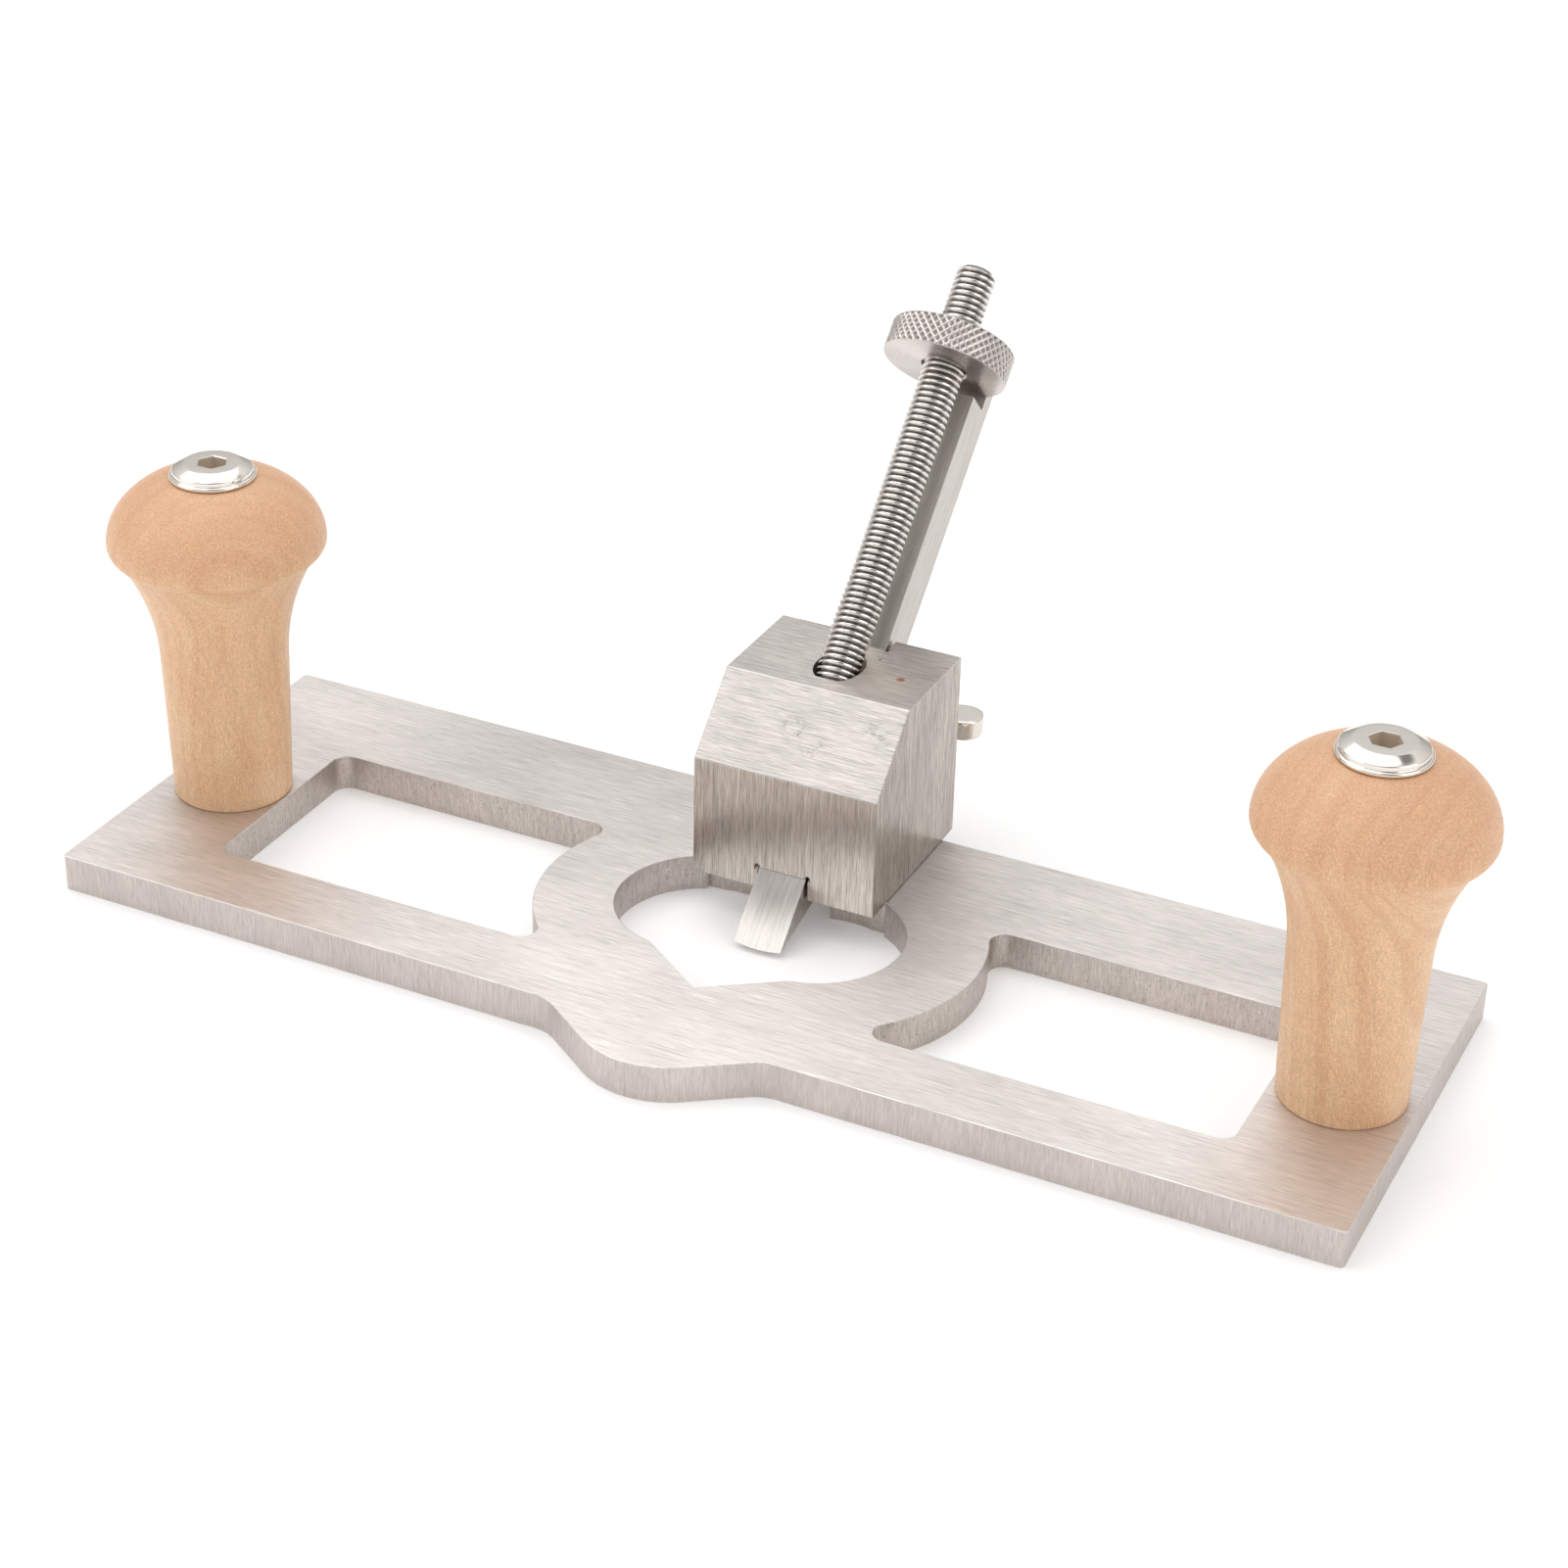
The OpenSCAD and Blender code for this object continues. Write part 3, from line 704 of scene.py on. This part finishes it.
class ROUTER_OT_block(Piece, bpy.types.Operator):
    """Grinds the block: brushed lengthwise on top, upright on its sides"""
    bl_idname = "router_plane.block"
    bl_label = "Block"

    def make(self, colours, sizes, k):
        low, high = (Vector(c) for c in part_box("tool_block"))
        rust, soot = linear("#B9763F"), linear("#4A4440")
        spots = [((12.2*MM, 32.4*MM, high.z), 1.0*MM, rust), ((5.5*MM, 37.9*MM, high.z), 0.35*MM, soot)]
        # places across the bevel and up it, as shares of its width and height, and a reach
        marks = [(0.46, 0.55, 4*MM), (0.62, 0.36, 4.5*MM), (0.88, 0.66, 4*MM)]
        smudges = [((low.x + across*(high.x - low.x), low.y + up*sizes.bevel,
                     high.z - (1 - up)*sizes.bevel), reach) for across, up, reach in marks]
        # the lighter patch on the top, towards the back right, is a painted highlight
        top = brushed_steel("steel_block_top", colours.block_top, (8*MM, 0.17*MM), contrast=0.56,
                            smudges=smudges, spots=spots, painted_light_patches=[((14*MM, 38*MM, high.z), 17*MM, 1.13)])
        # the sides' darker colour is painted shade
        side = brushed_steel("steel_block_side", colours.block_side_painted_darker, (8*MM, 0.19*MM), UPRIGHT,
                             contrast=0.8, rough=0.28, blotch=0.12, bump=0.6, joint=low.z)
        front = brushed_steel("steel_block_front", colours.block_front, (8*MM, 0.18*MM), UPRIGHT,
                              contrast=0.6, rough=0.22, blotch=0.08, bump=0.6)
        bore = brushed_steel("steel_channel", colours.milled, (3*MM, 0.3*MM), TOOL_TURN, rough=0.45)
        block = cad_copy("block", "tool_block", [top, side, bore, front])
        near, skin = 0.01*MM, 0.3*MM

        def off_bevel(point):
            return abs((point.y - low.y) + (high.z - point.z) - sizes.bevel)

        def on_skin(point):
            return (abs(point.x) > high.x - near or abs(point.y - low.y) < near
                    or abs(point.y - high.y) < near or abs(point.z - high.z) < near
                    or off_bevel(point) < 2*near)

        def outer(edge):
            start, end = (v.co for v in edge.verts)
            straight = (end - start).normalized()
            wanted = (abs(straight.x) > 0.999 or abs(straight.z) > 0.999
                      or abs(straight.y) > 0.7 and abs(start.x) > high.x - near)
            return edge.is_convex and wanted and on_skin(start) and on_skin(end)

        def pick(normal, middle):
            inside = (abs(middle.x) < 8*MM and abs(normal.z + normal.y) < 1.2
                      and low.y + skin < middle.y < high.y - skin and middle.z < high.z - skin
                      and off_bevel(middle) > skin)
            if inside:
                return 2
            if normal.z > 0.35:
                return 0
            return 3 if normal.y < -0.7 else 1

        break_edges(block, sizes.edge_round, outer)
        paint(block, pick)
        finish_piece(block, "frame", ["tool_block"])


def hex_radius(flats):
    """The radius of a hex socket at an angle, for its width across flats."""
    def radius(a):
        from_flat = (a % (math.pi/3)) - math.pi/6
        return flats/2/math.cos(from_flat)
    return radius


def shank_rows(radius, low, high, pitch, per_turn, slot=0):
    """Rows along a shank, close enough together for its thread."""
    count = math.ceil((high - low)/pitch*per_turn)
    return [(radius, low + (high - low)*i/count, slot) for i in range(count + 1)]


class ROUTER_OT_block_screws(Piece, bpy.types.Operator):
    """Turns the two countersunk screws that hold the block from below"""
    bl_idname = "router_plane.block_screws"
    bl_label = "Block screws"

    def make(self, colours, sizes, k):
        satin = brushed_steel("steel_satin_screw", colours.bar, (0.8*MM, 0.15*MM), contrast=0.06, rough=0.32)
        low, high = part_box("block_screws")
        length = high[2] - low[2]
        shank, head, chamfer = sizes.screw, 2*sizes.screw, sizes.thread_chamfer
        floor, centre = 2.6*MM, 3.2*MM
        lip, rim = 0.25*MM, 0.15*MM
        socket = hex_radius(sizes.screw_flats)
        rows = [
            (0, centre, 0), (socket, floor, 0), (socket, lip, 0), (lambda a: socket(a) + lip, 0, 0),
            (head - rim, 0, 0), (head, rim, 0), (shank, head - shank, 0),
            (shank, length - chamfer, 0), (shank - chamfer, length, 0), (0, length, 0)]
        for side, name in ((-1, "left_block_screw"), (1, "right_block_screw")):
            screw = lathe(name, rows, 96, [satin])
            x = side*(high[0] - head)
            placed(screw, Matrix.Translation((x, (low[1] + high[1])/2, low[2])))
            finish_piece(screw, "frame", ["block_screws"])


class ROUTER_OT_cutter(Piece, bpy.types.Operator):
    """Grinds the cutter bar along its length and leaves its edge keen"""
    bl_idname = "router_plane.cutter"
    bl_label = "Cutter"

    def make(self, colours, sizes, k):
        ground = tool_steel("tool_steel_ground", colours.bar)
        block_low = Vector(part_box("tool_block")[0])
        # painted shade: the ground face is darker where it comes out of the block, and a little darker
        # further up it
        toe = (0, block_low.y, block_low.z + sizes.toe)
        middle = (0, block_low.y + 50*MM, block_low.z + sizes.toe + 50*MM)
        painted_light_patches = [(toe, 13*MM, 0.45), (middle, 50*MM, 0.9)]
        face = tool_steel("tool_steel_face", colours.bar_face, 0.42, painted_light_patches)
        bar = cad_copy("cutter_bar", "cutter", [ground, face])
        low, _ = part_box("cutter")
        keen = low[2] + 8*MM

        def away_from_edge(edge):
            return all(v.co.z > keen for v in edge.verts)

        def pick(normal, middle):
            return 1 if normal.dot(TOOL.col[1].to_3d()) < -0.9 else 0

        break_edges(bar, sizes.bar_edge_round, away_from_edge)
        paint(bar, pick)
        finish_piece(bar, "cutter", ["cutter"])


class ROUTER_OT_stud(Piece, bpy.types.Operator):
    """Rolls the thread of the stud on which the depth wheel runs"""
    bl_idname = "router_plane.stud"
    bl_label = "Adjuster stud"

    def make(self, colours, sizes, k):
        low, high = (Vector(c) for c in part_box("adjuster_stud"))
        radius = (high.x - low.x)/2
        chamfer = sizes.thread_chamfer
        # the box's lowest and highest corners lie on the chamfered ends' rims
        slope = TOOL.col[2].z
        foot = ((low.z + (radius - chamfer)*slope) - TOOL.translation.z)/slope
        top = ((high.z - (radius - chamfer)*slope) - TOOL.translation.z)/slope
        root = radius - sizes.thread_depth
        rolled = relieved_steel("steel_rolled_thread", colours.stud, TOOL, root, radius, 0.3, 0.12)
        rows = [(0, foot, 0)] + shank_rows(radius, foot, top, sizes.pitch, 16) + [(0, top, 0)]
        stud = lathe("threaded_stud", rows, 56, [rolled])
        threaded(stud, radius, foot, top, chamfer, sizes, rolled)
        placed(stud, TOOL)
        smooth(stud.data, 50)
        finish_piece(stud, "frame", ["adjuster_stud"])


class ROUTER_OT_wheel(Piece, bpy.types.Operator):
    """Turns the depth wheel and knurls its rim"""
    bl_idname = "router_plane.wheel"
    bl_label = "Depth wheel"

    def make(self, colours, sizes, k):
        low, high = (Vector(c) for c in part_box("depth_wheel"))
        radius = (high.x - low.x)/2
        # a wheel that leans by 45 degrees is as high as its diameter and thickness together
        slope = TOOL.col[2].z
        half = ((high.z - low.z)/slope - 2*radius)/2
        bore, sink, rim_round = 4.05*MM, 0.5*MM, 0.2*MM
        faced = turned_steel("steel_turned_face", colours.wheel, TOOL)
        knurled = relieved_steel(
            "steel_knurled_rim", colours.wheel, TOOL, radius - sizes.knurl_depth, radius, 0.42, 0.25)
        rim_rows = shank_rows(radius, -half + rim_round, half - rim_round, sizes.knurl_rise, 12, 1)
        rows = [(bore + sink, -half, 0), (radius - rim_round, -half, 0), *rim_rows,
                (radius - rim_round, half, 0), (bore + sink, half, 0),
                (bore, half - sink, 0), (bore, -half + sink, 0)]
        wheel = lathe("knurled_wheel", rows, sizes.knurl_count*12, [faced, knurled], loop=True)
        formed(wheel, knurl_tree(), {
            "Rim radius": radius, "Count": float(sizes.knurl_count), "Rise": sizes.knurl_rise,
            "Depth": sizes.knurl_depth, "Half height": half, "Border": sizes.knurl_border,
            "Material": knurled})
        placed(wheel, TOOL)
        smooth(wheel.data, 40)
        finish_piece(wheel, "wheel", ["depth_wheel"])


def cast_softly(obj, voxel, rounds):
    """Melts a mesh into one skin and softens its corners, as casting does."""
    put(obj.modifiers.new("cast", "REMESH"), mode="VOXEL", voxel_size=voxel, use_smooth_shade=True)
    put(obj.modifiers.new("soften", "SMOOTH"), factor=0.5, iterations=rounds)
    plain(obj)


class ROUTER_OT_wing_screw(Piece, bpy.types.Operator):
    """Casts the wing screw's head in one soft form and threads its shank"""
    bl_idname = "router_plane.wing_screw"
    bl_label = "Wing screw"

    def make(self, colours, sizes, k):
        centre = Vector(joint_named("clamp_turn")["pos_m"])
        nickel = polished_nickel("nickel_wing", colours.nickel)
        head = cad_copy("wing_head", "wing_screw", [nickel])
        parting, root = 0.6*MM, 1.2*MM
        bm = bmesh.new()
        bm.from_mesh(head.data)
        bmesh.ops.bisect_plane(
            bm, geom=bm.verts[:] + bm.edges[:] + bm.faces[:], plane_co=centre + Vector((0, parting, 0)),
            plane_no=(0, -1, 0), clear_outer=True)
        bmesh.ops.holes_fill(bm, edges=[e for e in bm.edges if e.is_boundary], sides=0)
        bmesh.ops.recalc_face_normals(bm, faces=bm.faces)
        bm.to_mesh(head.data)
        bm.free()
        cast_softly(head, 0.32*MM, 7)
        head.data.materials.clear()
        head.data.materials.append(nickel)
        finish_piece(head, "clamp", ["wing_screw"])
        low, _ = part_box("wing_screw")
        axis = Matrix.Translation(centre) @ Matrix.Rotation(math.radians(-90), 4, "X")
        tip = low[1] - centre.y
        rolled = relieved_steel(
            "nickel_thread", colours.nickel, axis, sizes.m8 - sizes.thread_depth, sizes.m8, 0.4)
        rows = [(0, tip, 0)] + shank_rows(sizes.m8, tip, root, sizes.pitch, 10) + [(0, root, 0)]
        shank = lathe("wing_thread", rows, 36, [rolled])
        # the thread's far end lies inside the head, so only the tip is chamfered
        threaded(shank, sizes.m8, tip, root + sizes.clamp_chamfer, sizes.clamp_chamfer, sizes, rolled)
        placed(shank, axis)
        smooth(shank.data, 50)
        finish_piece(shank, "clamp", ["wing_screw"])


def arc(centre, radii, start, end, steps, first=1):
    """Points of an outline along an elliptic arc, from the first of its steps on."""
    points = []
    for i in range(first, steps + 1):
        a = start + (end - start)*i/steps
        points.append((centre[0] + radii[0]*math.cos(a), centre[1] + radii[1]*math.sin(a)))
    return points


def knob_rows(k, height, cap):
    """The turned outline of a knob, from its foot up: stem, long cove, lip and cut-off dome."""
    crease_r = cap - k.under + k.under*math.cos(k.under_sweep)
    crease_z = k.widest - k.under*math.sin(k.under_sweep)
    out, up = crease_r - k.stem, crease_z - k.flare
    cove = (out*out + up*up)/(2*out)
    sweep = math.asin(up/cove)
    top = math.acos(k.seat/cap)
    rise = (height - k.widest)/math.sin(top)
    points = [(k.bore, 0), (k.foot - k.foot_round, 0), (k.foot, k.foot_round)]
    for i in range(1, 15):
        z = k.foot_round + (k.flare - k.foot_round)*i/14
        points.append((k.foot + (k.stem - k.foot)*z/k.flare, z))
    points += arc((k.stem + cove, k.flare), (-cove, cove), 0, sweep, 32)
    points += arc((cap - k.under, k.widest), (k.under, k.under), -k.under_sweep, 0, 24)
    points += arc((0, k.widest), (cap, rise), 0, top, 36)
    points.append((k.bore, height))
    return [(radius, z, 0) for radius, z in points]


class ROUTER_OT_knobs(Piece, bpy.types.Operator):
    """Turns the two maple knobs, each from its own piece of wood"""
    bl_idname = "router_plane.knobs"
    bl_label = "Knobs"

    def make(self, colours, sizes, k):
        # where the rings' middle lies, how the tree leans, and the seed of its growth
        woods = {
            "left_knob": ((0.03, -0.02, 0.0), (0.12, 0.05, 0.0), 2.0),
            "right_knob": ((-0.034, 0.012, 0.0), (0.10, -0.16, 0.0), 9.0)}
        for node, wood in woods.items():
            low, high = (Vector(c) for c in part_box(node))
            centre = Vector(((low.x + high.x)/2, (low.y + high.y)/2, low.z))
            maple = turned_maple("maple_" + node, colours, low.z + k.widest, centre, *wood)
            rows = knob_rows(k, high.z - low.z, (high.x - low.x)/2)
            knob = lathe("maple_" + node, rows, 128, [maple], loop=True)
            placed(knob, Matrix.Translation(centre))
            finish_piece(knob, "frame", [node])


def bolt_head_rows(k):
    """The outline of a knob bolt's head, from its underside up: a rounded rim, a side set in
    from it, the cone and the flat top, with softened corners, and the socket.
    """
    rim, side, shoulder, top = k.head_rim/2, k.head - k.rim_out, k.head_t - k.head_cone, k.head_t
    lip = 0.12*MM
    socket = hex_radius(k.hex_flats)
    points = arc((k.head - rim, rim), (rim, rim), -math.pi/2, math.pi/2, 10, 0) + [
        (side + 0.06*MM, k.head_rim), (side, k.head_rim + 0.08*MM),
        (side, shoulder - 0.16*MM), (side - 0.06*MM, shoulder - 0.04*MM),
        (side - 0.2*MM, shoulder + 0.06*MM), (k.head_flat + 0.2*MM, top - 0.08*MM),
        (k.head_flat, top - 0.02*MM), (k.head_flat - 0.25*MM, top)]
    return [(radius, z, 0) for radius, z in points] + [
        (lambda a: socket(a) + lip, top, 0), (socket, top - lip, 1),
        (socket, top - k.hex_depth + 0.5*MM, 1), (0, top - k.hex_depth, 1)]


class ROUTER_OT_knob_bolts(Piece, bpy.types.Operator):
    """Makes the knobs' nickel-plated bolts: low wide heads with hex sockets, threaded below"""
    bl_idname = "router_plane.knob_bolts"
    bl_label = "Knob bolts"

    def make(self, colours, sizes, k):
        nickel = polished_nickel("nickel_bolt", colours.nickel)
        # painted shade: the sockets' nickel is darker and less metallic
        inside = polished_nickel("nickel_socket_painted_shade", linear("#CDBFAE"), 0.35, 0.3)
        for node in ("left_knob_bolt", "right_knob_bolt"):
            low, high = (Vector(c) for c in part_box(node))
            centre = Vector(((low.x + high.x)/2, (low.y + high.y)/2, high.z - k.head_t))
            end = low.z - centre.z
            top = end + k.threaded
            rows = [(0, end, 0), *shank_rows(sizes.m8, end, top, sizes.pitch, 10), (sizes.m8, 0, 0)]
            bolt = lathe("nickel_" + node, rows + bolt_head_rows(k), 96, [nickel, inside])
            threaded(bolt, sizes.m8, end, top, sizes.thread_chamfer, sizes, nickel)
            placed(bolt, Matrix.Translation(centre))
            smooth(bolt.data, 30)
            finish_piece(bolt, "frame", [node])


# Camera, floor and light

EYE = (0.22484, -0.46765, 0.33036)
AZIMUTH = math.radians(25.249)
ELEVATION = math.radians(29.61)
ROLL = math.radians(1.415)
LENS = 76.70
SENSOR = 36
# The room: how bright it is at its horizon and overhead, what is seen behind the object, and
# the light that it throws on matt faces
ROOM_LOW = 0.36
ROOM_HIGH = 1.04
BACKDROP = (1, 1, 1, 1)
FILL = (0.66, 0.66, 0.665, 1)
# Dark places of the room that polished metal shows: a direction, the cosines of the angles
# from it at which each begins and is full, and how much light is left there
DARK_PLACES = (
    ((0.371, -0.493, 0.787), 0.95, 0.985, 0.12),
    ((0.134, 0.433, 0.891), 0.955, 0.98, 0.25),
)
# Square lamps: name, place, aim, width in metres and power in watts
LAMPS = (
    ("overhead", (-0.3, 0.25, 1.1), (0, 0, 0), 1.15, 5.0),
    ("left_front", (-0.9, -0.7, 0.75), (0, 0, 0.03), 0.8, 3.1),
    ("right", (1.0, -0.1, 0.6), (0, 0, 0.03), 0.75, 2.1),
)


def camera_matrix():
    """Where the photograph's camera stands and how it is turned."""
    back = Vector((math.sin(AZIMUTH)*math.cos(ELEVATION), -math.cos(AZIMUTH)*math.cos(ELEVATION),
                   math.sin(ELEVATION)))
    level = Vector((math.cos(AZIMUTH), math.sin(AZIMUTH), 0))
    upright = back.cross(level)
    right = level*math.cos(ROLL) + upright*math.sin(ROLL)
    up = upright*math.cos(ROLL) - level*math.sin(ROLL)
    matrix = Matrix((right, up, back)).transposed().to_4x4()
    matrix.translation = Vector(EYE)
    return matrix


def set_camera(scene):
    camera = bpy.data.objects.new("camera", bpy.data.cameras.new("camera"))
    put(camera.data, sensor_fit="HORIZONTAL", sensor_width=SENSOR, lens=LENS, clip_start=0.01)
    camera.matrix_world = camera_matrix()
    scene.collection.objects.link(camera)
    scene.camera = camera
    scene.view_settings.view_transform = "Standard"


def lay_floor(scene):
    """A white paper floor, which stays as white beyond the lamps' reach as it is under them."""
    reach = 3.0
    mesh = bpy.data.meshes.new("floor")
    mesh.from_pydata([(-reach, -reach, 0), (reach, -reach, 0), (reach, reach, 0), (-reach, reach, 0)],
                     [], [(0, 1, 2, 3)])
    paper, tree, shader, at = new_material("white_paper")
    shader.inputs["Base Color"].default_value = rgba(scene.router_colours.floor)
    shader.inputs["Roughness"].default_value = 0.9
    glow = remap(tree, distance(tree, at, (0, 0, 0)), 0.3, 1.2, 0.14, 0.8, smooth=True)
    shader.inputs["Emission Color"].default_value = (1, 1, 1, 1)
    tree.links.new(glow, shader.inputs["Emission Strength"])
    floor = new_object("floor", mesh, [paper])


def build_room(scene):
    """The room that metal mirrors, behind a white backdrop that only the camera sees."""
    world = bpy.data.worlds.new("studio")
    scene.world = world
    world.use_nodes = True
    tree = world.node_tree
    tree.nodes.clear()
    rays = add(tree, "ShaderNodeLightPath").outputs
    way = add(tree, "ShaderNodeTexCoord").outputs["Generated"]
    room = remap(tree, xyz(tree, way)[2], -0.05, 0.75, ROOM_LOW, ROOM_HIGH)
    for direction, begins, full, left in DARK_PLACES:
        toward = add(tree, "ShaderNodeVectorMath", {"operation": "DOT_PRODUCT"},
                     _0=way, _1=direction).outputs[1]
        room = times(tree, room, remap(tree, toward, begins, full, 1.0, left, smooth=True))
    seen = tint(tree, rays["Is Camera Ray"], room, BACKDROP)
    lit = tint(tree, rays["Is Diffuse Ray"], seen, FILL)
    background = add(tree, "ShaderNodeBackground", Color=lit, Strength=1.0)
    add(tree, "ShaderNodeOutputWorld", Surface=background.outputs[0])


def hang_lamps(scene):
    for name, place, aim, width, power in LAMPS:
        lamp = put(bpy.data.lights.new(name, "AREA"), shape="SQUARE", size=width, energy=power)
        obj = bpy.data.objects.new(name, lamp)
        obj.location = place
        obj.rotation_euler = (Vector(place) - Vector(aim)).to_track_quat("Z", "Y").to_euler()
        scene.collection.objects.link(obj)


class ROUTER_OT_stage(bpy.types.Operator):
    """Sets the camera, the floor, the world and the lamps"""
    bl_idname = "router_plane.stage"
    bl_label = "Camera, floor and light"

    def execute(self, context):
        for part in (set_camera, lay_floor, build_room, hang_lamps):
            part(context.scene)
        return {"FINISHED"}


OPERATORS = (
    ROUTER_OT_stage, ROUTER_OT_base_plate, ROUTER_OT_block, ROUTER_OT_block_screws, ROUTER_OT_cutter,
    ROUTER_OT_stud, ROUTER_OT_wheel, ROUTER_OT_wing_screw, ROUTER_OT_knobs, ROUTER_OT_knob_bolts,
)


class ROUTER_PT_panel(bpy.types.Panel):
    """Sizes, colours and pieces of the router plane"""
    bl_idname = "ROUTER_PT_panel"
    bl_label = "Router plane"
    bl_space_type = "VIEW_3D"
    bl_region_type = "UI"
    bl_category = "Router plane"

    def draw(self, context):
        for group in GROUPS:
            values = getattr(context.scene, group)
            column = self.layout.column()
            for name in values.bl_rna.properties.keys():
                if name not in ("rna_type", "name"):
                    column.prop(values, name)
        for operator in OPERATORS:
            self.layout.operator(operator.bl_idname)


GROUPS = {"router_steel": SteelSizes, "router_knobs": KnobSizes, "router_colours": Colours}
CLASSES = (*GROUPS.values(), *OPERATORS, ROUTER_PT_panel)


def register():
    for cls in CLASSES:
        bpy.utils.register_class(cls)
    for name, group in GROUPS.items():
        setattr(bpy.types.Scene, name, PointerProperty(type=group))


def unregister():
    for name in GROUPS:
        delattr(bpy.types.Scene, name)
    for cls in reversed(CLASSES):
        bpy.utils.unregister_class(cls)


def main():
    register()
    for operator in OPERATORS:
        group, name = operator.bl_idname.split(".")
        getattr(getattr(bpy.ops, group), name)()


if __name__ == "__main__":
    main()
